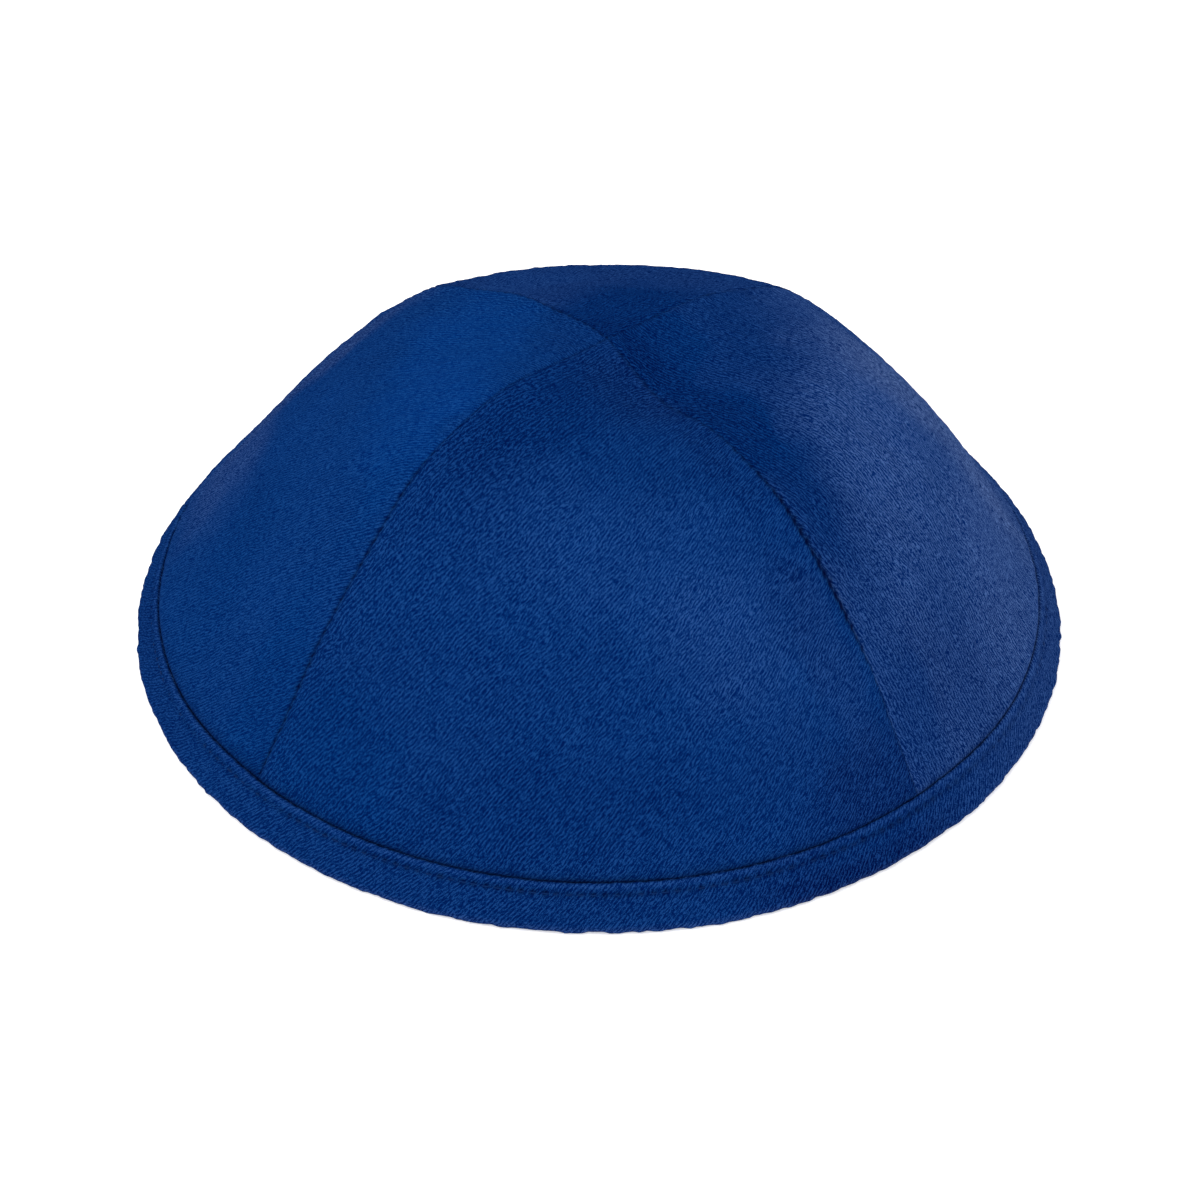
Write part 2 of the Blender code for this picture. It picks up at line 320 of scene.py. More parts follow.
def tufts(x, y, seed, round_x=0):
    """Smooth random bumps from -1 to 1, one per unit; with round_x they repeat after that many."""
    table = np.random.default_rng(seed).uniform(-1.0, 1.0, (256, 256))
    cell_x = np.floor(x).astype(int)
    cell_y = np.floor(y).astype(int)
    share_x = smooth_step(x - cell_x)
    share_y = smooth_step(y - cell_y)
    cells = round_x or 256
    left, right = cell_x % cells % 256, (cell_x + 1) % cells % 256
    low, high = cell_y % 256, (cell_y + 1) % 256
    bottom = table[left, low] * (1 - share_x) + table[right, low] * share_x
    top = table[left, high] * (1 - share_x) + table[right, high] * share_x
    return bottom * (1 - share_y) + top * share_y


def with_the_pile(u, v, lay):
    """Lengths on the cloth, turned to run along the brushed pile and aside from it."""
    return u * math.cos(lay) + v * math.sin(lay), v * math.cos(lay) - u * math.sin(lay)


def grid_mesh(name, columns, rows):
    """A flat grid, and each vertex's share across and down it."""
    builder = bmesh.new()
    bmesh.ops.create_grid(builder, x_segments=columns, y_segments=rows, size=1.0)
    mesh = bpy.data.meshes.new(name)
    builder.to_mesh(mesh)
    builder.free()
    co = np.empty(len(mesh.vertices) * 3)
    mesh.vertices.foreach_get("co", co)
    co = co.reshape(-1, 3)
    across = np.rint((co[:, 0] + 1) / 2 * columns).astype(int)
    down = np.rint((1 - co[:, 1]) / 2 * rows).astype(int)
    return mesh, across, down


def shape_mesh(mesh, places, cloth_map, values):
    """Move a grid's vertices to their places, lay out its cloth map and keep its named values."""
    mesh.vertices.foreach_set("co", np.asarray(places, np.float32).ravel())
    corner = np.empty(len(mesh.loops), int)
    mesh.loops.foreach_get("vertex_index", corner)
    layer = mesh.uv_layers.new(name="cloth")
    layer.data.foreach_set("uv", np.asarray(cloth_map, np.float32)[corner].ravel())
    for key, value in values.items():
        attribute = mesh.attributes.new(key, "FLOAT", "POINT")
        attribute.data.foreach_set("value", np.asarray(value, np.float32))
    mesh.update()


def gore_line():
    """A gore's outer line from its tip to its hidden lower edge, with the distance still to go."""
    line = np.vstack([crown_line(CROWN_ROWS), roll_line(ROLL_ROWS)[1:], tuck_line(TUCK_ROWS, TUCK_DEPTH)[1:]])
    way = way_along(line)
    return line, way[-1] - way


def half_gore_at(radius):
    """Half the angle that a gore covers at a radius, less its half of the seam's gap."""
    return np.maximum(0.0, HALF_GORE - np.arcsin(np.minimum(1.0, SEAM_GAP / 2 / radius)))


def gore_places(line, across, lift, facing):
    """Points of a gore. across runs from -1 to 1, lift raises the cloth from its line."""
    radius, height, flatness = line.T
    turn = across * half_gore_at(radius)
    radius = radius * (1 - flatness + flatness * math.cos(HALF_GORE) / np.cos(turn))
    out, up = lift
    radius, height = sag(facing + turn, radius + out, height + up)
    return turn, settle(radius * np.cos(facing + turn), radius * np.sin(facing + turn), height)


def gore_front(name, gore, seed):
    """The velour face of a gore, with tufts, ripples and the pull of its seams."""
    mesh, column, row = grid_mesh(name + "_face", GORE_COLUMNS, CROWN_ROWS + ROLL_ROWS + TUCK_ROWS)
    line, to_go = gore_line()
    out, up = facing_out(line)
    evenly = 2.0 * column / GORE_COLUMNS - 1.0
    across = evenly * (1.2 - 0.2 * evenly ** 2)
    station = line[row]
    aside_from_middle = across * half_gore_at(station[:, 0])
    u = station[:, 0] * aside_from_middle
    v = to_go[row]
    from_seam = station[:, 0] * np.sin(np.maximum(0.0, HALF_GORE - np.abs(aside_from_middle)))
    shown = smooth_step((v - (BAND_TOP - SLOT_FOOT)) / (2.5 * MM))

    show = seam_show(v, to_go[0], across, gore.facing, seed)
    pull = np.exp(-(from_seam / SEAM_REACH) ** 2) * np.minimum(1.0, show)
    slanted = v - SLANT * np.sign(across) * from_seam
    needle = 0.5 + 0.5 * np.cos(2 * math.pi * slanted / STITCH)
    puff = np.exp(-((from_seam - 2.3 * SEAM_REACH) / (1.3 * SEAM_REACH)) ** 2)
    lift = -SEAM_DIP * pull * (0.65 + 0.35 * needle) + SEAM_PUFF * puff
    away = smooth_step(from_seam / (1.5 * MM))
    along, aside = with_the_pile(u, v, gore.lay)
    lift += TUFT_RISE * tufts(aside / (1.3 * MM), along / (2.4 * MM), seed) * (0.35 + 0.65 * away)
    lift += 0.5 * TUFT_RISE * tufts(u / (0.9 * MM), v / (0.9 * MM), seed + 1)
    lift += RIPPLE_RISE * tufts(u / (17 * MM) + 9, v / (13 * MM) + 5, seed + 2) * away
    lift = lift * shown

    turn, (x, y, height) = gore_places(station, across, (out[row] * lift, up[row] * lift), gore.facing)
    # Painted shade along the seams, beating with the stitches, and in the groove under the band's edge
    wide_open = smooth_step((show - 1.2) / 0.5)
    broken = 0.85 + 0.35 * tufts(v / (1.7 * MM), np.sign(across) * 7.5, seed + 4)
    uneven = 1.0 + 0.45 * tufts(v / (1.1 * MM), np.sign(across) * 2.5, seed + 9) * (1 - wide_open)
    beat = 0.50 + 0.60 * needle ** 2
    beat = beat + (0.90 - beat) * 0.7 * wide_open
    seam_shade = np.exp(-(from_seam / ((0.32 + 0.18 * show) * uneven * MM)) ** 2) * show * beat * broken
    seam_shade += 0.22 * np.exp(-(from_seam / (1.2 * MM)) ** 2) * needle ** 4 * np.minimum(1.0, show)
    seam_shade += 0.16 * np.exp(-(from_seam / (2.0 * MM)) ** 2) * wide_open
    seam_shade = np.minimum(1.0, seam_shade)
    from_band = np.maximum(0.0, v - (BAND_TOP - SLOT_FOOT))
    ragged = 1.0 + 0.35 * tufts(u / (1.3 * MM), 0.5, seed + 10)
    groove_shade = 0.44 * np.exp(-(from_band / (1.5 * ragged * MM)) ** 2)
    groove_shade += 0.18 * np.exp(-(from_band / (3.2 * MM)) ** 2)
    groove_shade = groove_shade * (0.85 + 0.2 * ragged) * groove_shade_at(gore.facing + turn)
    # How light the pile lies, partly painted shade, and its painted sheen
    nap_and_shade, haze = nap_and_shade_of(u, v, x, y, gore, seed)
    values = {"nap_and_shade": nap_and_shade, "haze": haze, "hollow_shade": np.maximum(seam_shade, groove_shade)}
    cloth_map = np.column_stack([along, aside]) / CLOTH_SPAN
    shape_mesh(mesh, np.column_stack([x, y, height]), cloth_map, values)
    return mesh


def gore_back(name, facing):
    """The plain back of a gore's cloth, one thickness further in."""
    mesh, column, row = grid_mesh(name + "_back", BACK_COLUMNS, BACK_ROWS + 1 + TUCK_ROWS)
    crown = crown_line(BACK_ROWS)
    out, up = facing_out(crown)
    crown[:, 0] = np.maximum(crown[0, 0], crown[:, 0] - GORE_CLOTH * out)
    crown[:, 1] -= GORE_CLOTH * up
    line = np.vstack([crown, tuck_line(TUCK_ROWS, TUCK_DEPTH + GORE_CLOTH)])
    across = 2.0 * column / BACK_COLUMNS - 1.0
    turn, (x, y, height) = gore_places(line[row], across, (0.0, 0.0), facing)
    way = way_along(line)
    v = (way[-1] - way)[row]
    cloth_map = np.column_stack([line[row, 0] * turn, v]) / CLOTH_SPAN
    level = np.zeros(len(x))
    values = {"nap_and_shade": level, "haze": level, "hollow_shade": level}
    shape_mesh(mesh, np.column_stack([x, y, height]), cloth_map, values)
    for face in mesh.polygons:
        face.material_index = 1
    return mesh


def groove_shade_at(angle):
    """How dark the painted shade is in the groove under the band's edge, around the rim."""
    direction, share = np.array(GROOVE_SHADE_AROUND).T
    return np.interp(np.degrees(angle) % 360, direction, share, period=360)


def seam_show(v, length, across, facing, seed):
    """How open the nearer seam lies, which sets its dip and its painted shade: the pile closes over it here
    and there.
    """
    show = np.zeros_like(v)
    for side in (-1, 1):
        direction = round(math.degrees(facing + side * HALF_GORE)) % 360
        from_top, openness = np.array(SEAM_OPENNESS[direction]).T
        show = np.where(np.sign(across) == side, np.interp((length - v) / MM, from_top, openness), show)
    return show * (0.88 + 0.2 * tufts(v / (9 * MM), np.sign(across) * 3.5, seed + 3))


def nap_and_shade_of(u, v, x, y, gore, seed):
    """How light the pile lies, above 0, or dark, below 0, partly from how it is brushed and partly painted
    shade, and how much painted sheen it shows.
    """
    along, aside = with_the_pile(u, v, gore.lay)
    nap_and_shade = gore.shade + 0.10 * tufts(u / (26 * MM) + 3, v / (19 * MM) + 7, seed + 5)
    nap_and_shade += 0.10 * tufts(aside / (6 * MM), along / (10 * MM), seed + 6)
    haze = np.full_like(nap_and_shade, gore.haze)
    ragged_x = x + 3.0 * MM * tufts(x / (7 * MM), y / (7 * MM) + 9, seed + 7)
    ragged_y = y + 3.0 * MM * tufts(x / (7 * MM) + 5, y / (7 * MM), seed + 8)
    for patch in PATCHES.values():
        if GORES[patch.gore] is gore:
            spread = patch_spread(patch, ragged_x, ragged_y)
            nap_and_shade += patch.shade * spread
            haze += patch.haze * spread
    return nap_and_shade, np.maximum(haze, 0.0)


def patch_spread(patch, x, y):
    """How much of a patch of pile shows at a place, seen from above."""
    turn = math.radians(patch.turn)
    aside = x - patch.x * MM, y - patch.y * MM
    long_way = (aside[0] * math.cos(turn) + aside[1] * math.sin(turn)) / (patch.long * MM)
    wide_way = (aside[1] * math.cos(turn) - aside[0] * math.sin(turn)) / (patch.wide * MM)
    return np.exp(-np.hypot(long_way, wide_way) ** 4)


def new_piece(name, mesh, materials):
    piece = bpy.data.objects.new(name, mesh)
    bpy.context.scene.collection.objects.link(piece)
    mesh.materials.clear()
    for material in materials:
        mesh.materials.append(material)
    mesh.shade_smooth()
    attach(piece, "root")
    return piece


def close_tip(builder):
    """Merge the vertices of each face of a gore that meet at its tip."""
    top = max(v.co.z for v in builder.verts)
    near = [v for v in builder.verts if v.co.z > top - 30 * MM and math.hypot(
        v.co.x - LEAN_RIGHT, v.co.y + LEAN_FRONT) < 3 * SEAM_GAP]
    bmesh.ops.remove_doubles(builder, verts=near, dist=0.12 * SEAM_GAP)


def gore_piece(node, gore, seed):
    """A whole gore: velour face, plain back and the cut edges that join them."""
    builder = bmesh.new()
    for mesh in (gore_front(node, gore, seed), gore_back(node, gore.facing)):
        builder.from_mesh(mesh)
        bpy.data.meshes.remove(mesh)
    close_tip(builder)
    border = [edge for edge in builder.edges if edge.is_boundary]
    bmesh.ops.bridge_loops(builder, edges=border)
    bmesh.ops.recalc_face_normals(builder, faces=builder.faces[:])
    mesh = bpy.data.meshes.new(node + "_velour")
    builder.to_mesh(mesh)
    builder.free()
    piece = new_piece(node + "_velour", mesh, (velour, cloth_back))
    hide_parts(node)
    line, to_go = gore_line()
    return piece


def arc(centre, radius, start, end, steps):
    angle = np.linspace(start, end, steps)
    return np.column_stack([centre[0] + radius * np.cos(angle), centre[1] + radius * np.sin(angle)])


def band_line():
    """Closed outline of the folded band, from its upper outer edge round the fold and back."""
    face_angle = math.pi / 2 - RIM_SLOPE
    down = -math.pi / 2
    inner_depth = BAND_DEPTH - INNER_FOLD_RADIUS
    inner_centre = wall_point(way_up_to(INNER_FOLD_RADIUS, inner_depth), inner_depth)
    outer_edge = wall_point(BAND_TOP, LEAF_EDGE)
    inner_edge = wall_point(INNER_TOP, SLOT_DEPTH + LEAF_EDGE)
    stretches = (
        (arc(outer_edge, LEAF_EDGE, face_angle + math.pi / 2, face_angle, 12), 3),
        (np.array([wall_point(BAND_TOP, 0.0), FACE_START]), 26),
        (arc(FOLD_CENTRE, FOLD_RADIUS, face_angle, down, 24), 9),
        (np.array([(FOLD_CENTRE[0], 0.0), (inner_centre[0], 0.0)]), 3),
        (arc(inner_centre, INNER_FOLD_RADIUS, down, face_angle - math.pi, 12), 4),
        (np.array([wall_point(way_up_to(INNER_FOLD_RADIUS, inner_depth), BAND_DEPTH),
                   wall_point(INNER_TOP, BAND_DEPTH)]), 12),
        (arc(inner_edge, LEAF_EDGE, face_angle + math.pi, face_angle, 12), 4),
        (np.array([wall_point(INNER_TOP, SLOT_DEPTH), wall_point(SLOT_FOOT, SLOT_DEPTH)]), 3),
        (np.array([wall_point(SLOT_FOOT, SLOT_DEPTH), wall_point(SLOT_FOOT, BAND_CLOTH)]), 2),
        (np.array([wall_point(SLOT_FOOT, BAND_CLOTH), wall_point(BAND_TOP, BAND_CLOTH)]), 3),
        (arc(outer_edge, LEAF_EDGE, face_angle + math.pi, face_angle + math.pi / 2, 8), 2),
    )
    return np.vstack([even_steps(points, count)[:-1] for points, count in stretches] + [stretches[0][0][:1]])


def band_piece():
    """The folded strip: outer leaf with its stitched channel, rounded fold, flat foot, inner leaf."""
    line = band_line()
    rows = len(line) - 1
    mesh, column, row = grid_mesh("rim_band_velour", BAND_COLUMNS, rows)
    way = way_along(line)
    out, up = facing_out(line)
    closed = (out[1] + out[-2]) / 2, (up[1] + up[-2]) / 2
    out[0] = out[-1] = closed[0]
    up[0] = up[-1] = closed[1]
    share = column / BAND_COLUMNS
    angle = math.pi / 2 + 2 * math.pi * share
    v = way[row]
    edge = (math.pi / 4 + 0.5) * LEAF_EDGE
    below_edge = v - edge
    outside = smooth_step(v / (0.4 * MM)) * (1 - smooth_step((v - 11.5 * MM) / (1.5 * MM)))

    cells = round(RIM_LENGTH / (1.4 * MM))
    fine = round(RIM_LENGTH / (0.95 * MM))
    broad = round(RIM_LENGTH / (16 * MM))
    loose = round(RIM_LENGTH / (3.4 * MM))
    lift = TUFT_RISE * tufts(share * cells, v / (1.9 * MM), 71, cells)
    lift += 0.6 * TUFT_RISE * tufts(share * fine, v / (1.0 * MM), 72, fine)
    lift += 0.5 * RIPPLE_RISE * tufts(share * broad, v / (9 * MM), 73, broad)
    low = smooth_step((v - 5 * MM) / (3 * MM))
    lift += 0.35 * TUFT_RISE * tufts(share * loose, v / (4 * MM), 76, loose) * low
    lift += 0.75 * TUFT_RISE * tufts(share * cells, v / (3 * MM) + 0.5, 77, cells) * low
    stitches = round(RIM_LENGTH / STITCH)
    needle = 0.5 + 0.5 * np.cos(2 * math.pi * share * stitches)
    channel = np.exp(-((below_edge - TOPSTITCH_DROP) / CHANNEL_REACH) ** 2)
    channel *= 0.8 + 0.25 * tufts(share * 2 * broad, 0.5, 75, 2 * broad)
    channel *= 1.2 - 0.75 * smooth_step((np.abs(np.cos(angle)) - 0.6) / 0.35)
    lift -= CHANNEL_DEPTH * channel * (0.55 + 0.45 * needle)
    # A painted highlight and painted sheen along the band's upper edge, used below
    edge_highlight = np.exp(-((below_edge - 0.25 * MM) / (0.42 * MM)) ** 2)
    lift += 0.12 * MM * np.exp(-((below_edge - 0.6 * MM) / (0.8 * MM)) ** 2)
    lift = lift * outside

    ragged = 0.11 * MM * (0.7 + tufts(share * cells, 3.5, 78, cells))
    ragged = ragged * np.exp(-(np.minimum(v, way[-1] - v) / (1.2 * MM)) ** 2)
    radius = line[row, 0] + out[row] * lift + ragged * math.cos(RIM_SLOPE)
    height = line[row, 1] + up[row] * lift - ragged * math.sin(RIM_SLOPE)
    radius, height = sag(angle, radius, height)
    height = np.where(line[row, 1] < 0.01 * MM, 0.0, np.maximum(height, 0.0))
    # Painted shade in the gap under the band's upper edge and at the needle holes of the stitched channel
    gap_shade = (1 - smooth_step(v / (0.5 * MM))) * groove_shade_at(angle)
    needle_shade = 0.6 + 0.7 * tufts(share * stitches, 9.5, 79, stitches)
    hollow_shade = np.maximum(channel * (0.26 + 0.56 * needle_shade * needle ** 2), gap_shade)
    # The band's pile is darker, partly painted shade, and darker still low at the right front; painted sheen
    # on its right side and along its fold
    nap_and_shade = 0.15 * tufts(share * broad, v / (14 * MM) + 3, 74, broad) - 0.52
    from_corner = (angle - math.radians(305)) / math.radians(14)
    nap_and_shade -= (0.30 + 0.45 * smooth_step((v - 4 * MM) / (3 * MM))) * np.exp(-from_corner ** 4)
    nap_and_shade += 0.45 * edge_highlight
    haze = 0.10 + 0.25 * edge_highlight + 0.80 * smooth_step(1.6 * np.cos(angle - math.radians(15)) - 0.6)
    haze += 0.8 * smooth_step((v - 8.5 * MM) / (2.0 * MM))
    places = np.column_stack([radius * np.cos(angle), radius * np.sin(angle), height])
    cloth_map = np.column_stack(with_the_pile(share * RIM_LENGTH, v, BAND_LAY)) / CLOTH_SPAN
    shape_mesh(mesh, places, cloth_map, {"nap_and_shade": nap_and_shade, "haze": haze, "hollow_shade": hollow_shade})

    builder = bmesh.new()
    builder.from_mesh(mesh)
    rim = [vertex for vertex in builder.verts if vertex.is_boundary]
    bmesh.ops.remove_doubles(builder, verts=rim, dist=0.001 * MM)
    bmesh.ops.recalc_face_normals(builder, faces=builder.faces[:])
    builder.to_mesh(mesh)
    builder.free()
    piece = new_piece("rim_band_velour", mesh, (velour,))
    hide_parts("rim_band")
    return piece


def topstitch_piece():
    """One row of stitches in the band's channel, each a short thread that dives at both ends."""
    builder = bmesh.new()
    stitches = round(RIM_LENGTH / STITCH)
    up = BAND_TOP - TOPSTITCH_DROP
    reach = 0.38 * STITCH
    for i in range(stitches):
        angle = 2 * math.pi * (i + 0.5) / stitches
        thread = bmesh.ops.create_uvsphere(builder, u_segments=6, v_segments=6, radius=1.0)
        for vertex in thread["verts"]:
            side, rise, along = vertex.co
            depth = CHANNEL_DEPTH * 0.85 - side * THREAD_RADIUS + 0.12 * MM * along ** 2
            radius, height = sag(angle, *wall_point(up + rise * THREAD_RADIUS, depth))
            turn = angle + along * reach / radius
            vertex.co = (radius * math.cos(turn), radius * math.sin(turn), height)
    bmesh.ops.recalc_face_normals(builder, faces=builder.faces[:])
    mesh = bpy.data.meshes.new("rim_topstitch")
    builder.to_mesh(mesh)
    builder.free()
    return new_piece("rim_topstitch", mesh, (thread_blue,))


# Materials
def new_material(name):
    material = bpy.data.materials.new(name)
    material.use_nodes = True
    return material, material.node_tree, material.node_tree.nodes["Principled BSDF"]


def add_node(tree, kind, **settings):
    node = tree.nodes.new(kind)
    for key, value in settings.items():
        setattr(node, key, value)
    return node


def calculate(tree, operation, first, second, clamp=False, add=0.0):
    node = add_node(tree, "ShaderNodeMath", operation=operation, use_clamp=clamp)
    for socket, value in zip(node.inputs, (first, second, add)):
        if isinstance(value, (int, float)):
            socket.default_value = value
        else:
            tree.links.new(value, socket)
    return node.outputs[0]


def noise_of(tree, vector, scale, detail, roughness, distortion=0.0):
    node = add_node(tree, "ShaderNodeTexNoise", noise_dimensions="2D")
    tree.links.new(vector, node.inputs["Vector"])
    node.inputs["Scale"].default_value = scale
    node.inputs["Detail"].default_value = detail
    node.inputs["Roughness"].default_value = roughness
    node.inputs["Distortion"].default_value = distortion
    return node.outputs["Fac"]


def drawn_noise(tree, vector, length, width, roughness=0.5, distortion=0.0):
    """Noise whose cells are drawn out along the pile."""
    node = add_node(tree, "ShaderNodeMapping", vector_type="POINT")
    tree.links.new(vector, node.inputs["Vector"])
    node.inputs["Scale"].default_value = (CLOTH_SPAN / length, CLOTH_SPAN / width, 1.0)
    return noise_of(tree, node.outputs["Vector"], 1.0, 1.0, roughness, distortion)


def swayed(tree, vector, scale, reach):
    """Push the map aside by soft noise, so that the brushed streaks bend."""
    node = add_node(tree, "ShaderNodeTexNoise", noise_dimensions="2D")
    tree.links.new(vector, node.inputs["Vector"])
    node.inputs["Scale"].default_value = scale
    node.inputs["Detail"].default_value = 1.0
    centred = add_node(tree, "ShaderNodeVectorMath", operation="SUBTRACT")
    tree.links.new(node.outputs["Color"], centred.inputs[0])
    centred.inputs[1].default_value = (0.5, 0.5, 0.5)
    pushed = add_node(tree, "ShaderNodeVectorMath", operation="MULTIPLY_ADD")
    tree.links.new(centred.outputs[0], pushed.inputs[0])
    pushed.inputs[1].default_value = (reach, reach, 0.0)
    tree.links.new(vector, pushed.inputs[2])
    return pushed.outputs[0]


PILE_SHADES = (                # share of light pile: colour
    (0.00, (0.0001, 0.0105, 0.0780)),
    (0.50, (0.0004, 0.0217, 0.1173)),
    (1.00, (0.0042, 0.0400, 0.1650)),
)
BACK_SHADES = ((0.30, (0.0020, 0.0150, 0.0750)), (0.70, (0.0060, 0.0330, 0.1300)))
THREAD_SHADES = ((0.00, (0.0003, 0.0075, 0.0520)), (1.00, (0.0006, 0.0200, 0.1050)))
PAINTED_SHEEN_COLOUR = (0.0088, 0.0121, 0.0195)    # painted sheen: what lit tips of pile add to its colour
SHADE_BLUE = (0.0, 0.0008, 0.018)   # painted shade: the deep blue kept in hollows and dark patches


def pile_lines(tree, cloth, waved):
    """Fine lines along the pile, broken up more in some places than in others."""
    apart = add_node(tree, "ShaderNodeSeparateXYZ")
    tree.links.new(waved, apart.inputs[0])
    breaks = drawn_noise(tree, cloth, 2.4 * MM, 1.0 * MM)
    broad = noise_of(tree, cloth, CLOTH_SPAN / (14 * MM), 1.0, 0.5)
    unrest = calculate(tree, "MULTIPLY_ADD", broad, 24.0, add=-6.0)
    phase = calculate(tree, "MULTIPLY", apart.outputs["Y"], 2 * math.pi * CLOTH_SPAN / LINE_PITCH)
    phase = calculate(tree, "MULTIPLY_ADD", breaks, unrest, add=phase)
    swell = drawn_noise(tree, cloth, 1.2 * MM, 0.6 * MM)
    swell = calculate(tree, "MULTIPLY", calculate(tree, "POWER", swell, 2.0), LINE_SHARE)
    return calculate(tree, "MULTIPLY", calculate(tree, "SINE", phase, 0.0), swell)


def velour_material():
    """Brushed pile: streaks drawn out along its lay, fuzz, clumps, painted shade in hollows and dark patches,
    and painted sheen of lit tips.
    """
    material, tree, shader = new_material("velour")
    cloth = add_node(tree, "ShaderNodeUVMap", uv_map="cloth").outputs["UV"]
    waved = swayed(tree, cloth, CLOTH_SPAN / (9 * MM), 1.0 * MM / CLOTH_SPAN)
    waved = swayed(tree, waved, CLOTH_SPAN / (2.6 * MM), 0.06 * MM / CLOTH_SPAN)
    streaks = drawn_noise(tree, waved, STREAK_LENGTH, STREAK_WIDTH, 0.55, 0.2)
    fuzz = noise_of(tree, cloth, CLOTH_SPAN / (0.24 * MM), 2.0, 0.65)
    clumps = noise_of(tree, waved, CLOTH_SPAN / (2.2 * MM), 2.0, 0.55, 0.6)
    lines = pile_lines(tree, cloth, waved)

    pile = calculate(tree, "MULTIPLY", streaks, STREAK_SHARE)
    pile = calculate(tree, "ADD", pile, calculate(tree, "MULTIPLY", fuzz, FUZZ_SHARE))
    pile = calculate(tree, "ADD", pile, calculate(tree, "MULTIPLY", clumps, CLUMP_SHARE))
    pile = calculate(tree, "ADD", pile, lines)
    contrast = add_node(tree, "ShaderNodeMapRange")
    tree.links.new(pile, contrast.inputs["Value"])
    contrast.inputs["From Min"].default_value = PILE_CONTRAST[0]
    contrast.inputs["From Max"].default_value = PILE_CONTRAST[1]
    light = calculate(tree, "POWER", contrast.outputs[0], 1.3)
    ramp = colour_ramp(tree, light, PILE_SHADES)

    nap_and_shade = add_node(tree, "ShaderNodeAttribute", attribute_name="nap_and_shade").outputs["Fac"]
    hollow_shade = add_node(tree, "ShaderNodeAttribute", attribute_name="hollow_shade").outputs["Fac"]
    haze = add_node(tree, "ShaderNodeAttribute", attribute_name="haze").outputs["Fac"]
    # Painted shade: dark patches, seams, the band's groove and needle holes darken the colour. Painted sheen:
    # lit pile tips add a pale tint.
    swing = calculate(tree, "MULTIPLY_ADD", light, -0.35, add=0.65)
    bright = calculate(tree, "MULTIPLY_ADD", nap_and_shade, swing, add=1.0)
    shaded = calculate(tree, "SUBTRACT", 1.0, calculate(tree, "MULTIPLY", hollow_shade, 0.92), clamp=True)
    bright = calculate(tree, "MULTIPLY", bright, shaded)
    lit = add_node(tree, "ShaderNodeVectorMath", operation="SCALE")
    tree.links.new(ramp, lit.inputs[0])
    tree.links.new(bright, lit.inputs["Scale"])
    lit_tips = calculate(tree, "MULTIPLY", calculate(tree, "POWER", light, 1.4), 2.5)
    tips = calculate(tree, "MULTIPLY", haze, lit_tips)
    tips = calculate(tree, "MULTIPLY", tips, shaded)
    with_painted_sheen = add_node(tree, "ShaderNodeVectorMath", operation="MULTIPLY_ADD")
    with_painted_sheen.inputs[0].default_value = PAINTED_SHEEN_COLOUR
    tree.links.new(tips, with_painted_sheen.inputs[1])
    tree.links.new(lit.outputs[0], with_painted_sheen.inputs[2])
    # Painted shade keeps a deep blue in hollows and dark patches
    depth = calculate(tree, "MAXIMUM", hollow_shade, calculate(tree, "MULTIPLY", nap_and_shade, -0.9))
    with_shade_blue = add_node(tree, "ShaderNodeVectorMath", operation="MULTIPLY_ADD")
    with_shade_blue.inputs[0].default_value = SHADE_BLUE
    tree.links.new(depth, with_shade_blue.inputs[1])
    tree.links.new(with_painted_sheen.outputs[0], with_shade_blue.inputs[2])
    tree.links.new(with_shade_blue.outputs[0], shader.inputs["Base Color"])

    bump = add_node(tree, "ShaderNodeBump")
    bump.inputs["Strength"].default_value = 0.35
    bump.inputs["Distance"].default_value = 0.25 * MM
    tree.links.new(pile, bump.inputs["Height"])
    tree.links.new(bump.outputs["Normal"], shader.inputs["Normal"])
    shader.inputs["Roughness"].default_value = 1.0
    shader.inputs["Specular IOR Level"].default_value = 0.0
    shader.inputs["Sheen Weight"].default_value = 0.03
    shader.inputs["Sheen Roughness"].default_value = 0.5
    shader.inputs["Sheen Tint"].default_value = (0.06, 0.25, 1.0, 1.0)
    return material


def colour_ramp(tree, share, shades):
    ramp = add_node(tree, "ShaderNodeValToRGB")
    tree.links.new(share, ramp.inputs["Fac"])
    while len(ramp.color_ramp.elements) < len(shades):
        ramp.color_ramp.elements.new(0.5)
    for element, (position, colour) in zip(ramp.color_ramp.elements, shades):
        element.position = position
        element.color = (*colour, 1.0)
    return ramp.outputs["Color"]


def back_material():
    """The smooth knitted back of the velour, seen inside the cap."""
    material, tree, shader = new_material("velour_back")
    cloth = add_node(tree, "ShaderNodeUVMap", uv_map="cloth").outputs["UV"]
    wale = add_node(tree, "ShaderNodeTexWave", wave_type="BANDS", bands_direction="X")
    tree.links.new(cloth, wale.inputs["Vector"])
    wale.inputs["Scale"].default_value = CLOTH_SPAN / WALE_PITCH / math.pi
    wale.inputs["Distortion"].default_value = 1.5
    mottling = noise_of(tree, cloth, CLOTH_SPAN / (1.2 * MM), 3.0, 0.6)
    tree.links.new(colour_ramp(tree, mottling, BACK_SHADES), shader.inputs["Base Color"])
    bump = add_node(tree, "ShaderNodeBump")
    bump.inputs["Strength"].default_value = 0.3
    bump.inputs["Distance"].default_value = 0.12 * MM
    tree.links.new(wale.outputs["Fac"], bump.inputs["Height"])
    tree.links.new(bump.outputs["Normal"], shader.inputs["Normal"])
    shader.inputs["Roughness"].default_value = 0.9
    shader.inputs["Specular IOR Level"].default_value = 0.2
    return material


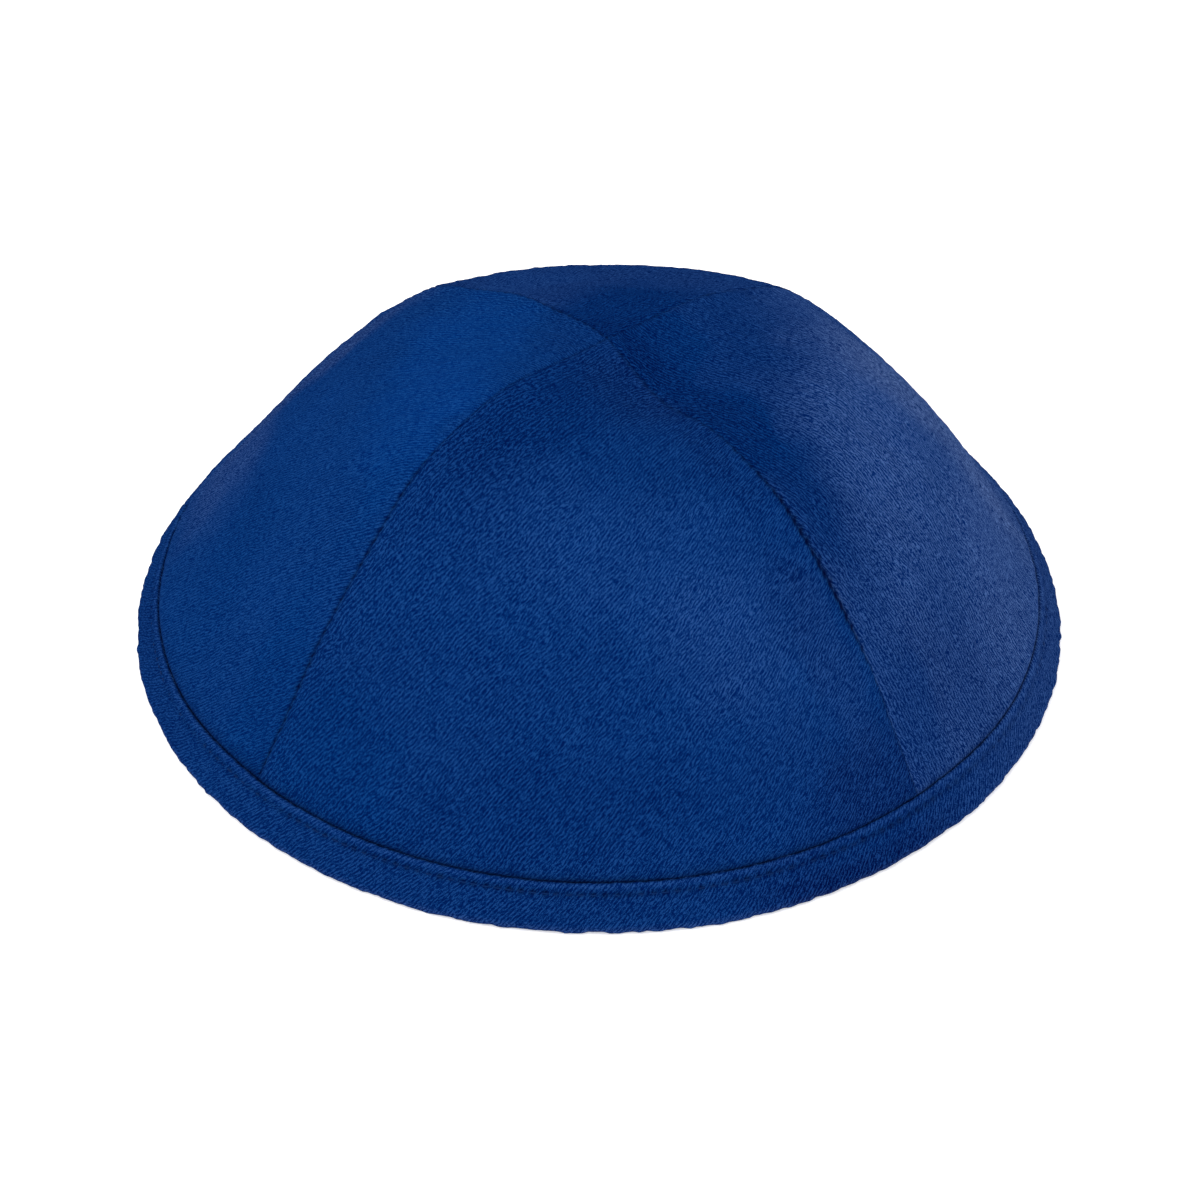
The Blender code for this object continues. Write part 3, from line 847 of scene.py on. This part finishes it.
def thread_material():
    material, tree, shader = new_material("stitching_thread")
    place = add_node(tree, "ShaderNodeTexCoord").outputs["Object"]
    twist = add_node(tree, "ShaderNodeTexNoise")
    tree.links.new(place, twist.inputs["Vector"])
    twist.inputs["Scale"].default_value = 4000.0
    tree.links.new(colour_ramp(tree, twist.outputs["Fac"], THREAD_SHADES), shader.inputs["Base Color"])
    shader.inputs["Roughness"].default_value = 0.8
    shader.inputs["Specular IOR Level"].default_value = 0.06
    return material


def floor_material():
    material, tree, shader = new_material("pale_floor")
    shader.inputs["Base Color"].default_value = (0.90, 0.90, 0.90, 1.0)
    shader.inputs["Emission Color"].default_value = (1.0, 1.0, 1.0, 1.0)
    shader.inputs["Emission Strength"].default_value = 0.35
    shader.inputs["Roughness"].default_value = 0.9
    shader.inputs["Specular IOR Level"].default_value = 0.1
    return material


# Stage, lights and camera
def lay_floor():
    builder = bmesh.new()
    bmesh.ops.create_grid(builder, x_segments=1, y_segments=1, size=6.0)
    mesh = bpy.data.meshes.new("floor")
    builder.to_mesh(mesh)
    builder.free()
    mesh.materials.append(floor_material())
    floor = bpy.data.objects.new("floor", mesh)
    bpy.context.scene.collection.objects.link(floor)


def soft_light(name, azimuth, elevation, distance, size, power, colour):
    """A large square lamp aimed at the cap. Azimuth 0 stands before its front, 90 to its right."""
    lamp = bpy.data.lights.new(name, "AREA")
    lamp.shape = "SQUARE"
    lamp.size = size
    lamp.energy = power
    lamp.color = colour
    holder = bpy.data.objects.new(name, lamp)
    bpy.context.scene.collection.objects.link(holder)
    turn, rise = math.radians(azimuth), math.radians(elevation)
    back = Vector((math.sin(turn) * math.cos(rise), -math.cos(turn) * math.cos(rise), math.sin(rise)))
    holder.location = Vector((0, 0, 0.03)) + back * distance
    holder.rotation_euler = (-back).to_track_quat("-Z", "Y").to_euler()


def light_room():
    world = bpy.data.worlds.new("pale_room")
    bpy.context.scene.world = world
    world.use_nodes = True
    ground = world.node_tree.nodes["Background"]
    ground.inputs["Color"].default_value = (1.0, 1.0, 1.0, 1.0)
    ground.inputs["Strength"].default_value = 0.85
    soft_light("key_light", -35, 55, 1.2, 0.9, 9.0, (1.0, 0.98, 0.96))
    soft_light("fill_light", 60, 35, 1.3, 1.0, 4.0, (0.96, 0.97, 1.0))


def aim_camera():
    camera = bpy.data.cameras.new("photo_camera")
    camera.sensor_width = CAMERA_SENSOR
    camera.sensor_fit = "HORIZONTAL"
    camera.lens = CAMERA_LENS
    camera.clip_start = 0.01
    camera.clip_end = 50.0
    holder = bpy.data.objects.new("photo_camera", camera)
    bpy.context.scene.collection.objects.link(holder)
    turned = Euler((0.0, 0.0, CAMERA_TURN)).to_matrix()
    back = turned @ Vector((0.0, -math.cos(CAMERA_RISE), math.sin(CAMERA_RISE)))
    holder.location = turned @ CAMERA_TARGET + back * CAMERA_DISTANCE
    holder.rotation_euler = (-back).to_track_quat("-Z", "Y").to_euler()
    bpy.context.scene.camera = holder


velour = velour_material()
cloth_back = back_material()
thread_blue = thread_material()

aim_camera()
light_room()
lay_floor()
bpy.context.scene.view_settings.view_transform = "Standard"

for seed, (node, gore) in enumerate(GORES.items()):
    gore_piece(node, gore, 11 + 10 * seed)
band = band_piece()
stitching = topstitch_piece()
